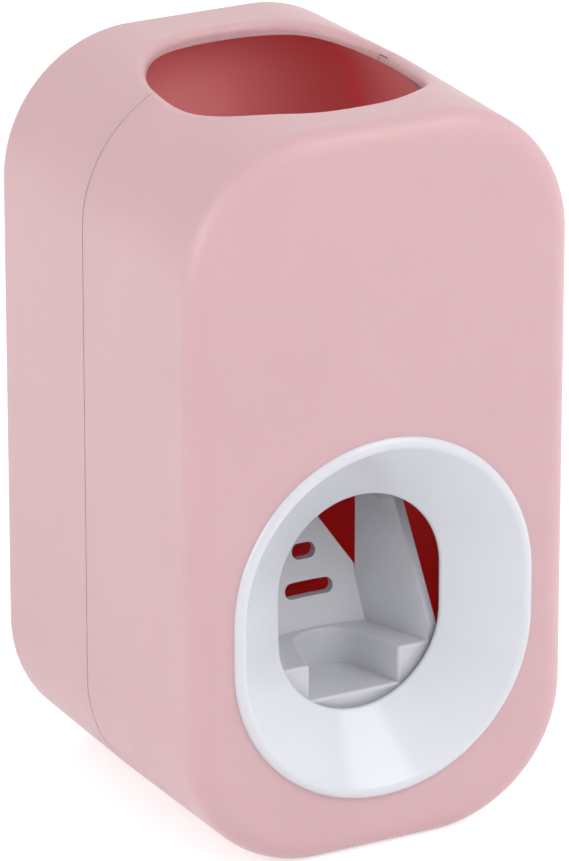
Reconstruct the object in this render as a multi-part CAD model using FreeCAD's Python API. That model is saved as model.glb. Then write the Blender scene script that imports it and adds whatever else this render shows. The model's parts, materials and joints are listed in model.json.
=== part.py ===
import FreeCAD, Part
import math
import os

# Squeeze-free toothpaste dispenser.
# A toothbrush pushes the cup behind the front funnel, the cup rocks on two stub pins,
# and its rear arms lift a plunger that presses a bellows pump under the tube socket.
# Millimetres. Origin at the bottom centre, +Z up, front face towards -Y, +X to the right.

# Housing
body_height = 120.0
body_width = 67.2
body_depth = 65.5
corner_radius = 22.5
wall = 2.2
draft_angle = 0.8
front_edge_round = 4.0
rear_edge_round = 2.0
parting_depth = 35.7
lap_length = 2.0
lap_clearance = 0.15
seam_groove = 0.15

# Opening in the top for the tube
well_side_margin = 13.3
well_front_margin = 10.85
well_rear_margin = 9.75
well_front_flat = 7.6
well_rear_corner = 9.0
well_rear_narrowing = 4.3
well_edge_round = 1.3
well_edge_share = 0.6

# Funnel ring in the front wall
ring_height = 39.1
ring_straight = 7.0
ring_outer_radius = 26.3
ring_lip_height = 0.8
ring_lip_width = 2.0
ring_crown_inset = 0.9
ring_inner_radius = 14.4
ring_inner_depth = 8.2
ring_inner_lip = 0.6
ring_thickness = 1.8
ring_skirt_inset = 2.0
ring_skirt_length = 4.6
ring_hole_clearance = 0.2
snap_height = 0.7
snap_length = 1.4
snap_width = 9.0

# Push cup
cup_front_depth = 9.6
cup_ring_overlap = 2.4
cup_wall = 1.4
shelf_drop = 9.85
scoop_depth = 6.0
scoop_half_width = 7.95
scoop_end_radius = 5.8
scoop_end_depth = 22.25
scoop_edge_round = 0.6
cheek_rear_depth = 23.85
cheek_rear_half_width = 7.95
cheek_flare = 20.4
cheek_edge_rise = 2.6
cheek_edge_lean = 18.9
tongue_depth = 23.1
tongue_curve_radius = 30.0
tongue_lean = 15.0
tongue_root_half_width = 8.9
tongue_shoulder_rise = 7.6
tongue_tip_half_width = 3.3
tongue_tip_rise = 16.6
tongue_tip_round = 3.4
slot_height = 2.5
lower_slot_rise = 6.1
lower_slot_half_length = 4.3
upper_slot_rise = 11.9
upper_slot_half_length = 2.1
lug_rise = 22.3

# Rocker pivot and lift arms of the cup
pivot_depth = 21.3
pivot_rise = 22.9
swing_angle = 16.0
pin_radius = 1.5
pin_head_radius = 2.4
pin_head_length = 1.0
running_clearance = 0.05
eye_radius = 3.5
eye_inside = 8.5
eye_width = 2.5
side_clearance = 0.3
ear_width = 2.5
ear_half_length = 4.0
arm_end_radius = 2.8
lift_pin_radius = 1.5

# Pump
pump_depth = 35.25
lift_clearance = 0.6
stop_lip = 0.8
seat_gap = 0.1
plunger_radius = 9.3
plunger_thickness = 2.0
plunger_clearance = 0.3
plunger_rim_height = 1.0
plunger_rim_width = 0.6
stem_half_width = 3.5
stem_half_length = 4.2
stem_floor = 1.6
bellows_radius = 7.0
bellows_waist = 5.6
bellows_wall = 0.8
bellows_length = 10.6
bellows_folds = 3
bellows_flange_thickness = 1.2
spring_wire_radius = 0.4
spring_radius = 8.5
spring_turns = 4
spring_arcs_per_turn = 4
ledge_thickness = 1.2
cylinder_wall = 1.4
cylinder_ear_radius = 3.4
cylinder_ear_thickness = 2.4
valve_sheet_thickness = 0.8
flap_radius = 2.6
flap_slit = 0.5
deck_half_width = 19.0
deck_thickness = 6.0
deck_rear_margin = 4.0
deck_corner_radius = 5.0
inlet_offset = 3.0
inlet_radius = 2.0
outlet_offset = 3.4
outlet_radius = 1.5
channel_radius = 1.5
plug_length = 3.0
flange_depth = 12.2
flange_thickness = 2.5
flange_half_width = 22.0
flange_corner_radius = 3.0
flange_above = 7.0
flange_below = 9.0
gusset_thickness = 2.0

# Tube socket
socket_height = 11.0
socket_wall = 1.8
tube_neck_radius = 6.25
seal_wall = 1.5
seal_flange_height = 1.4
retainer_thickness = 1.4
retainer_skirt = 4.0
retainer_overlap = 1.6

# Nozzle
nozzle_depth = 18.75
nozzle_radius = 4.0
nozzle_bore = 2.2
nozzle_spigot_radius = 3.0
nozzle_spigot_length = 2.2
nozzle_end_drop = 4.5
cap_wall = 1.2
cap_height = 6.4
cap_lip = 1.2
bill_radius = 2.3
bill_length = 3.4
bill_tip = 0.6
bill_bore = 1.4
bill_slit = 0.3
valve_flange_thickness = 1.1

# Screws
screw_radius = 1.4
screw_clearance = 0.2
thread_clearance = 0.05
screw_head_radius = 2.6
screw_head_height = 1.8
screw_bite = 7.0
boss_wall = 1.9
pump_screw_x = 17.6
pump_screw_inset = 3.9
shell_screw_floor = 3.0
shell_screw_top_drop = 34.0
shell_screw_low_angle = 34.0
cylinder_screw_bite = 4.0
driver_slot_width = 0.8
driver_slot_depth = 0.9

# Hanging keyholes in the rear wall
keyhole_spacing = 30.0
keyhole_drop = 36.0
keyhole_radius = 4.2
keyhole_slot_radius = 2.1
keyhole_rise = 8.0

# Places worked out from the sizes above
overlap = 0.5
tolerance = 0.05
reach = 200.0
front_y = ring_lip_height - (body_depth + ring_lip_height) / 2
rear_y = front_y + body_depth
parting_y = front_y + parting_depth
draft = math.tan(math.radians(draft_angle))
inner_front_y = front_y + wall
inner_rear_y = rear_y - wall
well_half_width = body_width / 2 - well_side_margin
well_front_y = front_y + well_front_margin
well_rear_y = rear_y - well_rear_margin
well_front_corner = well_half_width - well_front_flat / 2

cup_front_y = front_y + cup_front_depth
cup_radius = ring_inner_radius + cup_ring_overlap
cup_arc_z = ring_height - ring_straight / 2
shelf_z = ring_height - shelf_drop
scoop_z = shelf_z - scoop_depth
scoop_round_y = front_y + scoop_end_depth - scoop_end_radius
cheek_rear_y = front_y + cheek_rear_depth
flare = math.tan(math.radians(cheek_flare))
edge_lean = math.tan(math.radians(cheek_edge_lean))
tongue_y = front_y + tongue_depth
tongue_slope = math.tan(math.radians(tongue_lean))
shoulder_z = shelf_z + tongue_shoulder_rise
cup_rear_y = tongue_y + cup_wall

pivot_y = front_y + pivot_depth
pivot_z = ring_height + pivot_rise
pump_y = front_y + pump_depth
lift_arm = pump_y - pivot_y
lift = lift_arm * math.sin(math.radians(swing_angle))
eye_outside = eye_inside + eye_width
ear_inside = eye_outside + side_clearance
ear_outside = ear_inside + ear_width

cylinder_z = pivot_z + lift + arm_end_radius + lift_clearance
plunger_z = cylinder_z + stop_lip + seat_gap
plunger_top_z = plunger_z + plunger_thickness
cylinder_inner_radius = plunger_radius + plunger_clearance
cylinder_outer_radius = cylinder_inner_radius + cylinder_wall
bellows_top_z = plunger_top_z + bellows_length
ledge_z = bellows_top_z - ledge_thickness
valve_sheet_z = bellows_top_z + bellows_flange_thickness
deck_z = valve_sheet_z + valve_sheet_thickness
deck_top_z = deck_z + deck_thickness
cylinder_ear_x = cylinder_outer_radius + cylinder_ear_radius - overlap
flange_y = front_y + flange_depth
flange_low_z = deck_z - flange_below
flange_high_z = deck_top_z + flange_above
inlet_y = pump_y + inlet_offset
outlet_y = pump_y - outlet_offset
channel_z = deck_z + deck_thickness / 2
socket_inner_radius = tube_neck_radius + seal_wall
socket_outer_radius = socket_inner_radius + socket_wall
socket_top_z = deck_top_z + socket_height
deck_rear_y = inlet_y + socket_outer_radius + deck_rear_margin

nozzle_y = front_y + nozzle_depth
nozzle_end_z = pivot_z - nozzle_end_drop
valve_flange_radius = nozzle_radius - running_clearance
boss_radius = screw_radius + boss_wall
post_radius = screw_head_radius + screw_clearance + boss_wall - overlap

X_AXIS = FreeCAD.Vector(1, 0, 0)
Y_AXIS = FreeCAD.Vector(0, 1, 0)
Z_AXIS = FreeCAD.Vector(0, 0, 1)


def point(x, y, z):
    return FreeCAD.Vector(x, y, z)


def rod(radius, length, start, direction):
    """A round bar from a start point along a direction."""
    return Part.makeCylinder(radius, length, start, direction)


def block(low, high):
    """A box between two corners."""
    size = high - low
    return Part.makeBox(size.x, size.y, size.z, low)


def fused(first, others):
    """One solid from touching or overlapping ones, with its split faces joined."""
    return first.multiFuse(others).removeSplitter()


def mirrored(shape):
    """The same piece on the other side of the middle plane."""
    return shape.mirror(point(0, 0, 0), X_AXIS)


def prism(points, direction):
    """A flat polygon pushed along a direction."""
    wire = Part.makePolygon(points + points[:1])
    return Part.Face(wire).extrude(direction)


def rounded_rectangle(low_u, low_v, high_u, high_v, radius, place):
    """A closed outline with four round corners; place turns (u, v) into a point."""
    diagonal = radius * (1 - math.sqrt(0.5))
    edges = []
    sides = [
        ((low_u + radius, low_v), (high_u - radius, low_v)),
        ((high_u, low_v + radius), (high_u, high_v - radius)),
        ((high_u - radius, high_v), (low_u + radius, high_v)),
        ((low_u, high_v - radius), (low_u, low_v + radius)),
    ]
    middles = [
        (high_u - diagonal, low_v + diagonal),
        (high_u - diagonal, high_v - diagonal),
        (low_u + diagonal, high_v - diagonal),
        (low_u + diagonal, low_v + diagonal),
    ]
    for index, (start, end) in enumerate(sides):
        next_start = sides[(index + 1) % len(sides)][0]
        edges.append(Part.LineSegment(place(*start), place(*end)).toShape())
        arc = Part.Arc(place(*end), place(*middles[index]), place(*next_start))
        edges.append(arc.toShape())
    return Part.Wire(edges)


def rounded_plate(low_u, low_v, high_u, high_v, radius, place, push):
    """A plate with round corners."""
    outline = rounded_rectangle(low_u, low_v, high_u, high_v, radius, place)
    return Part.Face(outline).extrude(push)


def stadium(radius, straight, centre_z, y):
    """An upright outline of two half circles joined by straight sides, facing the front."""
    top_z = centre_z + straight / 2
    low_z = centre_z - straight / 2
    edges = [
        Part.Arc(point(radius, y, top_z), point(0, y, top_z + radius), point(-radius, y, top_z)).toShape(),
        Part.LineSegment(point(-radius, y, top_z), point(-radius, y, low_z)).toShape(),
        Part.Arc(point(-radius, y, low_z), point(0, y, low_z - radius), point(radius, y, low_z)).toShape(),
        Part.LineSegment(point(radius, y, low_z), point(radius, y, top_z)).toShape(),
    ]
    return Part.Wire(edges)


def stadium_bar(radius, straight, centre_z, low_y, high_y):
    """A bar of stadium section running front to back."""
    return Part.Face(stadium(radius, straight, centre_z, low_y)).extrude(Y_AXIS * (high_y - low_y))


def turned(points, centre_y):
    """A solid of revolution about an upright axis, from (radius, z) points."""
    profile = [point(radius, centre_y, z) for radius, z in points]
    face = Part.Face(Part.makePolygon(profile + profile[:1]))
    return face.revolve(point(0, centre_y, 0), Z_AXIS, 360)


# Housing

def body_corners(y, inset):
    """The housing's square corners at a depth: sides and top lean in, away from the seam."""
    lean = draft * abs(y - parting_y)
    half = body_width / 2 - lean - inset
    top = body_height - lean - inset
    return [point(-half, y, inset), point(half, y, inset), point(half, y, top), point(-half, y, top)]


def body_slice(low_y, high_y, inset):
    """The housing's solid between two depths, shrunk all round by an inset."""
    near = body_corners(low_y, inset)
    far = body_corners(high_y, inset)
    outlines = [near, far[::-1]]
    for start in range(len(near)):
        end = (start + 1) % len(near)
        outlines.append([near[end], near[start], far[start], far[end]])
    faces = [Part.Face(Part.makePolygon(outline + outline[:1])) for outline in outlines]
    solid = Part.makeSolid(Part.makeShell(faces))
    lengthways = [edge for edge in solid.Edges if abs(edge.Vertexes[0].Y - edge.Vertexes[1].Y) > tolerance]
    return solid.makeFillet(corner_radius - inset, lengthways)


def rounded_end(shape, y, radius):
    """Rounds the outer edge of the end face that lies at a depth."""
    end = min(shape.Faces, key=lambda face: abs(face.CenterOfMass.y - y))
    return shape.makeFillet(radius, end.OuterWire.Edges)


def arc_about(centre, radius, start, end):
    """A level arc about a centre between two angles in radians."""
    spots = []
    for angle in (start, (start + end) / 2, end):
        spots.append(centre + point(math.cos(angle), math.sin(angle), 0) * radius)
    return Part.Arc(*spots).toShape()


def well_outline(z):
    """The tube opening in plan: round in front, narrowing towards the rear."""
    front = point(well_front_flat / 2, well_front_y + well_front_corner, z)
    rear_half_width = well_half_width - well_rear_narrowing
    rear = point(rear_half_width - well_rear_corner, well_rear_y - well_rear_corner, z)
    between = rear - front
    heading = math.atan2(between.y, between.x)
    taper = heading - math.acos((well_front_corner - well_rear_corner) / between.Length)
    front_arc = arc_about(front, well_front_corner, -math.pi / 2, taper)
    rear_arc = arc_about(rear, well_rear_corner, taper, math.pi / 2)
    side = Part.LineSegment(front_arc.Vertexes[-1].Point, rear_arc.Vertexes[0].Point).toShape()
    right = [front_arc, side, rear_arc]
    left = [mirrored(edge) for edge in right]
    ends = []
    for x, y in ((front.x, well_front_y), (rear.x, well_rear_y)):
        ends.append(Part.LineSegment(point(-x, y, z), point(x, y, z)).toShape())
    return Part.Wire(Part.__sortEdges__(right + left + ends))


def outer_top(spot):
    """Height of the housing's outer top surface over a plan position."""
    lean = draft * abs(spot.y - parting_y)
    beyond = max(abs(spot.x) - (body_width / 2 - lean - corner_radius), 0)
    return body_height - lean - corner_radius + math.sqrt(corner_radius ** 2 - beyond ** 2)


def open_well(shape):
    """Cuts the tube opening through the top and rounds its outer rim."""
    start_z = body_height - corner_radius
    cutter = Part.Face(well_outline(start_z)).extrude(Z_AXIS * reach)
    opened = shape.cut(cutter)
    outline = well_outline(0)
    rim = []
    for edge in opened.Edges:
        middle = edge.valueAt((edge.FirstParameter + edge.LastParameter) / 2)
        flat = Part.Vertex(point(middle.x, middle.y, 0))
        on_outline = outline.distToShape(flat)[0] < tolerance
        if on_outline and abs(middle.z - outer_top(middle)) < tolerance:
            rim.append(edge)
    return opened.makeFillet(min(well_edge_round, wall * well_edge_share), rim)


def seam_cutter(end_y):
    """The shallow step round the seam on the half that runs to an end depth."""
    kept = body_slice(min(end_y, parting_y), max(end_y, parting_y), seam_groove)
    step_y = parting_y + math.copysign(seam_groove, end_y - parting_y)
    slab = block(
        point(-reach, min(step_y, parting_y), -reach),
        point(reach, max(step_y, parting_y), reach),
    )
    return slab.cut(kept)


def shell_screw_places():
    """The four screw axes that close the housing, as (x, z)."""
    side_x = body_width / 2 - wall - post_radius + overlap
    top_z = body_height - shell_screw_top_drop
    angle = math.radians(shell_screw_low_angle)
    arm = corner_radius - wall - post_radius + overlap
    low_x = body_width / 2 - corner_radius + arm * math.cos(angle)
    low_z = corner_radius - arm * math.sin(angle)
    return [(-side_x, top_z), (side_x, top_z), (-low_x, low_z), (low_x, low_z)]


def pump_screw_places():
    """The four screw axes that hold the pump to the front shell, as (x, z)."""
    heights = [flange_low_z + pump_screw_inset, flange_high_z - pump_screw_inset]
    return [(side * pump_screw_x, z) for z in heights for side in (-1, 1)]


def front_shell():
    outer = rounded_end(body_slice(front_y, parting_y, 0), front_y, front_edge_round)
    hollow = body_slice(inner_front_y, parting_y, wall)
    hollow = rounded_end(hollow, inner_front_y, front_edge_round - wall)
    shell = open_well(outer.cut(hollow))

    lap_end_y = parting_y + lap_length
    tongue = body_slice(parting_y, lap_end_y, wall / 2 + lap_clearance)
    tongue = tongue.cut(body_slice(parting_y, lap_end_y, wall))
    opening = Part.Face(well_outline(0)).extrude(Z_AXIS * reach)
    tongue = tongue.cut(opening)

    inside = body_slice(front_y + wall / 2, parting_y, wall / 2)
    start_y = inner_front_y - overlap
    bosses = []
    pilots = []
    for x, z in shell_screw_places():
        bosses.append(rod(boss_radius, parting_y - start_y, point(x, start_y, z), Y_AXIS))
        pilot_y = parting_y - screw_bite - overlap
        pilots.append(rod(screw_radius + thread_clearance, reach, point(x, pilot_y, z), Y_AXIS))
    for x, z in pump_screw_places():
        bosses.append(rod(boss_radius, flange_y - start_y, point(x, start_y, z), Y_AXIS))
        pilot_y = flange_y - screw_bite - overlap
        pilots.append(rod(screw_radius + thread_clearance, reach, point(x, pilot_y, z), Y_AXIS))
    bosses = [boss.common(inside) for boss in bosses]
    shell = shell.multiFuse([tongue] + bosses).cut(pilots)

    hole_radius = ring_outer_radius - ring_skirt_inset + ring_hole_clearance
    hole = stadium_bar(hole_radius, ring_straight, ring_height, front_y - overlap, inner_front_y + overlap)
    return shell.cut([hole, seam_cutter(front_y)])


def keyhole(x):
    """A round mouth with a narrow slot above it, through the rear wall."""
    z = body_height - keyhole_drop
    low_y = inner_rear_y - overlap
    length = wall + 2 * overlap
    mouth = rod(keyhole_radius, length, point(x, low_y, z), Y_AXIS)
    neck = block(
        point(x - keyhole_slot_radius, low_y, z),
        point(x + keyhole_slot_radius, low_y + length, z + keyhole_rise),
    )
    end = rod(keyhole_slot_radius, length, point(x, low_y, z + keyhole_rise), Y_AXIS)
    return mouth.multiFuse([neck, end])


def rear_shell():
    outer = rounded_end(body_slice(parting_y, rear_y, 0), rear_y, rear_edge_round)
    hollow = body_slice(parting_y, inner_rear_y, wall)
    shell = open_well(outer.cut(hollow))

    inside = body_slice(parting_y, rear_y - wall / 2, wall / 2)
    start_y = parting_y
    posts = []
    holes = []
    for x, z in shell_screw_places():
        posts.append(rod(post_radius, rear_y - start_y, point(x, start_y, z), Y_AXIS).common(inside))
        seat_y = start_y + shell_screw_floor
        holes.append(rod(screw_head_radius + screw_clearance, reach, point(x, seat_y, z), Y_AXIS))
        holes.append(rod(screw_radius + screw_clearance, reach, point(x, start_y - overlap, z), Y_AXIS))
    shell = shell.multiFuse(posts)

    rebate = body_slice(parting_y, parting_y + lap_length + lap_clearance, wall / 2)
    rebate = rebate.cut(body_slice(parting_y, parting_y + lap_length + lap_clearance, wall + lap_clearance))
    keyholes = [keyhole(-keyhole_spacing / 2), keyhole(keyhole_spacing / 2)]
    return shell.cut(holes + keyholes + [rebate, seam_cutter(rear_y)])


# Funnel ring

def ring_profile(z):
    """The ring's section at its right side: lip, cone, inner lip and skirt."""
    lip_y = front_y - ring_lip_height
    skirt_radius = ring_outer_radius - ring_skirt_inset
    cone_out = point(ring_outer_radius - ring_lip_width, front_y - ring_lip_height / 2, z)
    rim_y = front_y + ring_inner_depth
    cone_in = point(ring_inner_radius + ring_inner_lip / 2, rim_y - ring_inner_lip, z)
    rim = point(ring_inner_radius, rim_y, z)
    back_in = point(ring_inner_radius + ring_inner_lip, rim_y + ring_inner_lip, z)
    along = cone_in - cone_out
    square = point(along.y, -along.x, 0)
    square.multiply(ring_thickness / square.Length)
    back_far = cone_out + square
    skirt_in = skirt_radius - ring_thickness
    share = (back_in.x - skirt_in) / (back_in.x - back_far.x)
    back_out = back_in + (back_far - back_in) * share
    skirt_end_y = front_y + ring_skirt_length
    crown = point(ring_outer_radius - ring_crown_inset, lip_y, z)
    outer = point(ring_outer_radius, front_y, z)
    edges = [
        Part.Arc(outer, crown, cone_out).toShape(),
        Part.LineSegment(cone_out, cone_in).toShape(),
        Part.Arc(cone_in, rim, back_in).toShape(),
        Part.LineSegment(back_in, back_out).toShape(),
    ]
    corners = [
        back_out,
        point(skirt_in, skirt_end_y, z),
        point(skirt_radius, skirt_end_y, z),
        point(skirt_radius, front_y, z),
        outer,
    ]
    for start, end in zip(corners, corners[1:]):
        edges.append(Part.LineSegment(start, end).toShape())
    return Part.Face(Part.Wire(edges))


def funnel_ring():
    top_z = ring_height + ring_straight / 2
    low_z = ring_height - ring_straight / 2
    upper = ring_profile(top_z).revolve(point(0, 0, top_z), -Y_AXIS, 180)
    lower = ring_profile(low_z).revolve(point(0, 0, low_z), Y_AXIS, 180)
    side = ring_profile(low_z).extrude(Z_AXIS * ring_straight)
    ring = fused(upper, [lower, side, mirrored(side)])
    skirt_radius = ring_outer_radius - ring_skirt_inset
    catch_y = inner_front_y + seat_gap
    wedge = [
        point(skirt_radius - overlap, catch_y, ring_height - snap_width / 2),
        point(skirt_radius + snap_height, catch_y, ring_height - snap_width / 2),
        point(skirt_radius - overlap, catch_y + snap_length + overlap, ring_height - snap_width / 2),
    ]
    catch = prism(wedge, Z_AXIS * snap_width)
    lift_to_end = point(0, 0, top_z - ring_height)
    catches = [catch, mirrored(catch)]
    for turn, shift in ((-90, lift_to_end), (90, -lift_to_end)):
        turned_catch = catch.copy()
        turned_catch.rotate(point(0, 0, ring_height), Y_AXIS, turn)
        turned_catch.translate(shift)
        catches.append(turned_catch)
    return fused(ring, catches)


# Push cup

def cheek_half_width(y):
    """Half the cup's inner width at a depth: the cheeks spread towards the front."""
    return cheek_rear_half_width + (cheek_rear_y - y) * flare


def spread_bar(low_y, high_y, grow, low_z, high_z):
    """An upright bar between the cheeks' inner faces, each moved outwards by a growth."""
    extra = grow / math.cos(math.radians(cheek_flare))
    near = cheek_half_width(low_y) + extra
    far = cheek_half_width(high_y) + extra
    return prism([
        point(-near, low_y, low_z),
        point(near, low_y, low_z),
        point(far, high_y, low_z),
        point(-far, high_y, low_z),
    ], Z_AXIS * (high_z - low_z))


def scoop_bar(grow, low_z, high_z):
    """The scoop in plan: a round end with straight sides that spread to the front."""
    radius = scoop_end_radius + grow
    depth = scoop_round_y - cup_front_y
    half_width = scoop_half_width + grow
    taper = math.acos(radius / math.hypot(half_width, depth)) - math.atan2(depth, half_width)
    centre = point(0, scoop_round_y, low_z)
    end = arc_about(centre, radius, taper, math.pi - taper)
    front_y_out = cup_front_y - overlap
    front_half = half_width + overlap * math.tan(taper)
    right = point(front_half, front_y_out, low_z)
    left = point(-front_half, front_y_out, low_z)
    edges = [
        end,
        Part.LineSegment(end.Vertexes[-1].Point, left).toShape(),
        Part.LineSegment(left, right).toShape(),
        Part.LineSegment(right, end.Vertexes[0].Point).toShape(),
    ]
    return Part.Face(Part.Wire(edges)).extrude(Z_AXIS * (high_z - low_z))


def cup_floor():
    """The cup's lower part: front plate, shelf, skirts and scoop, open underneath."""
    length = cup_rear_y - cup_front_y
    low_z = cup_arc_z - cup_radius
    floor = rod(cup_radius, length, point(0, cup_front_y, cup_arc_z), Y_AXIS)
    floor = floor.common(spread_bar(cup_front_y, cup_rear_y, cup_wall, low_z, shelf_z))
    floor = floor.cut(scoop_bar(0, scoop_z, shelf_z + overlap))

    worn = []
    for edge in floor.Edges:
        middle = edge.valueAt((edge.FirstParameter + edge.LastParameter) / 2)
        on_front = abs(middle.y - cup_front_y) < tolerance
        in_mouth = abs(middle.x) < scoop_half_width + tolerance
        on_shelf = abs(middle.z - shelf_z) < tolerance
        above_floor = middle.z > scoop_z - tolerance
        round_scoop = on_shelf and in_mouth and middle.y < cup_rear_y - tolerance
        if (on_front and (in_mouth and above_floor or on_shelf)) or round_scoop:
            worn.append(edge)
    floor = floor.makeFillet(min(scoop_edge_round, cup_wall / 2), worn)

    core = spread_bar(cup_front_y + cup_wall, cup_rear_y + overlap, 0, low_z, shelf_z - cup_wall)
    return floor.cut(core.cut(scoop_bar(cup_wall, scoop_z - cup_wall, shelf_z)))


def cheek_edge_y(z):
    """Depth of the cheeks' leaning front edge at a height."""
    return cup_front_y + (z - shelf_z - cheek_edge_rise) * edge_lean


def tongue_side_y(z):
    """Depth of the tongue's rear face at its sides."""
    sag = tongue_curve_radius - math.sqrt(tongue_curve_radius ** 2 - tongue_root_half_width ** 2)
    return tongue_y + cup_wall - sag + (z - shelf_z) * tongue_slope


def cheeks(top_z):
    """The cup's two side walls, with a leaning front edge and a gap beside the tongue."""
    low_z = shelf_z - cup_wall
    profile = [
        (cup_front_y, low_z),
        (cup_front_y, shelf_z + cheek_edge_rise),
        (cheek_edge_y(top_z), top_z),
        (cheek_rear_y, top_z),
        (cheek_rear_y, shoulder_z),
        (tongue_side_y(shoulder_z), shoulder_z),
        (tongue_side_y(low_z), low_z),
    ]
    sides = prism([point(-reach / 2, y, z) for y, z in profile], X_AXIS * reach)
    rear_y = tongue_side_y(shoulder_z) + overlap
    outer = spread_bar(cup_front_y, rear_y, cup_wall, low_z, top_z)
    inner = spread_bar(cup_front_y - overlap, rear_y + overlap, 0, low_z - overlap, top_z + overlap)
    return outer.cut(inner).common(sides)


def tongue_outline():
    """The tongue's front view: joined at the root, pointed and round-tipped above."""
    tip_z = shelf_z + tongue_tip_rise
    right = [
        point(tongue_root_half_width, 0, shelf_z - cup_wall),
        point(tongue_root_half_width, 0, shoulder_z),
        point(tongue_tip_half_width, 0, tip_z),
    ]
    left = [point(-spot.x, 0, spot.z) for spot in reversed(right)]
    peak = point(0, 0, tip_z + tongue_tip_round)
    edges = [Part.Arc(right[-1], peak, left[0]).toShape()]
    for chain in (left, right):
        for first, last in zip(chain, chain[1:]):
            edges.append(Part.LineSegment(first, last).toShape())
    edges.append(Part.LineSegment(left[-1], right[0]).toShape())
    return Part.Face(Part.Wire(Part.__sortEdges__(edges)))


def tongue():
    """The springy back of the cup: a shallow curved strip that leans back from the shelf."""
    low_z = shelf_z - 2 * cup_wall
    height = tongue_tip_rise + tongue_tip_round + 4 * cup_wall
    bend = point(0, tongue_y - tongue_curve_radius, low_z)
    strip = rod(tongue_curve_radius + cup_wall, height, bend, Z_AXIS)
    strip = strip.cut(rod(tongue_curve_radius, height, bend, Z_AXIS))
    strip.rotate(point(0, tongue_y, shelf_z), X_AXIS, -tongue_lean)
    outline = tongue_outline()
    outline.translate(Y_AXIS * bend.y)
    return strip.common(outline.extrude(Y_AXIS * reach))


def slot(rise, half_length):
    """A round-ended level slot through the tongue."""
    z = shelf_z + rise
    radius = slot_height / 2
    straight = half_length - radius
    start_y = tongue_y - overlap
    bar = block(point(-straight, start_y, z - radius), point(straight, reach, z + radius))
    ends = [rod(radius, reach - start_y, point(x, start_y, z), Y_AXIS) for x in (-straight, straight)]
    return bar.multiFuse(ends)


def rocker_arm():
    """The right-hand lug, pivot eye and rear lift arm, as one flat lever."""
    x = eye_inside
    push = X_AXIS * eye_width
    eye = rod(eye_radius, eye_width, point(x, pivot_y, pivot_z), X_AXIS)
    end = rod(arm_end_radius, eye_width, point(x, pump_y, pivot_z), X_AXIS)
    bar = prism([
        point(x, pivot_y, pivot_z - eye_radius),
        point(x, pump_y, pivot_z - arm_end_radius),
        point(x, pump_y, pivot_z + arm_end_radius),
        point(x, pivot_y, pivot_z + eye_radius),
    ], push)
    lug_z = shelf_z + lug_rise
    lug = prism([
        point(x, cheek_edge_y(lug_z), lug_z),
        point(x, cheek_rear_y, lug_z),
        point(x, pivot_y + eye_radius, pivot_z),
        point(x, pivot_y - eye_radius, pivot_z),
    ], push)
    lever = eye.multiFuse([end, bar, lug])
    eye_hole = rod(pin_radius + running_clearance, reach, point(0, pivot_y, pivot_z), X_AXIS)
    pin_hole = rod(lift_pin_radius + thread_clearance, reach, point(0, pump_y, pivot_z), X_AXIS)
    return lever, [eye_hole, pin_hole]


def pusher():
    """The rocking cup that the toothbrush pushes."""
    lever, holes = rocker_arm()
    top_z = pivot_z - eye_radius - overlap
    cup = fused(cup_floor(), [cheeks(top_z), tongue(), lever, mirrored(lever)])
    slots = [slot(lower_slot_rise, lower_slot_half_length), slot(upper_slot_rise, upper_slot_half_length)]
    both_holes = holes + [mirrored(hole) for hole in holes]
    return cup.cut(slots + both_holes)


def pivot_pin(side):
    """A headed stub pin, pressed in the pump body's ear, on which one eye turns."""
    length = ear_outside - eye_inside
    pin = rod(pin_radius, length, point(eye_inside, pivot_y, pivot_z), X_AXIS)
    head = rod(pin_head_radius, pin_head_length, point(ear_outside, pivot_y, pivot_z), X_AXIS)
    whole = fused(pin, [head])
    return whole if side > 0 else mirrored(whole)


def lift_pin():
    """The cross pin between the two lift arms."""
    return rod(lift_pin_radius, 2 * eye_outside, point(-eye_outside, pump_y, pivot_z), X_AXIS)


# Pump

def plunger():
    """A disc in the pump cylinder with a stem that the cross pin lifts."""
    rim_inside = bellows_radius + plunger_clearance
    disc = turned([
        (0, plunger_z),
        (plunger_radius, plunger_z),
        (plunger_radius, plunger_top_z),
        (rim_inside + plunger_rim_width, plunger_top_z),
        (rim_inside + plunger_rim_width, plunger_top_z + plunger_rim_height),
        (rim_inside, plunger_top_z + plunger_rim_height),
        (rim_inside, plunger_top_z),
        (0, plunger_top_z),
    ], pump_y)
    window = lift_pin_radius + side_clearance
    sway = lift_arm - math.sqrt(lift_arm ** 2 - lift ** 2)
    stem_low_z = pivot_z - window - stem_floor
    stem = block(
        point(-stem_half_width, pump_y - stem_half_length, stem_low_z),
        point(stem_half_width, pump_y + stem_half_length, plunger_z + overlap),
    )
    eye = block(
        point(-reach / 2, pump_y - window - sway, pivot_z - window),
        point(reach / 2, pump_y + window, pivot_z + window),
    )
    return fused(disc, [stem]).cut(eye)


def bellows_points(grow):
    """The folded wall's zigzag from bottom to top, as (radius, z)."""
    low_z = plunger_top_z + bellows_wall
    fold = (bellows_top_z - low_z) / bellows_folds
    points = []
    for index in range(bellows_folds):
        start_z = low_z + index * fold
        points.append((bellows_waist + grow, start_z))
        points.append((bellows_radius + grow, start_z + fold / 2))
    points.append((bellows_waist + grow, bellows_top_z))
    return points


def bellows():
    """The silicone pump bellows, open at the top, with a clamping flange."""
    outer = bellows_points(0)
    inner = bellows_points(-bellows_wall)
    flange_radius = cylinder_inner_radius - side_clearance
    floor = [(0, plunger_top_z), (bellows_waist, plunger_top_z)]
    flange = [(flange_radius, bellows_top_z), (flange_radius, valve_sheet_z)]
    throat = [(bellows_waist - bellows_wall, valve_sheet_z)]
    bottom = [(0, plunger_top_z + bellows_wall)]
    return turned(floor + outer + flange + throat + inner[::-1] + bottom, pump_y)


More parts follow.
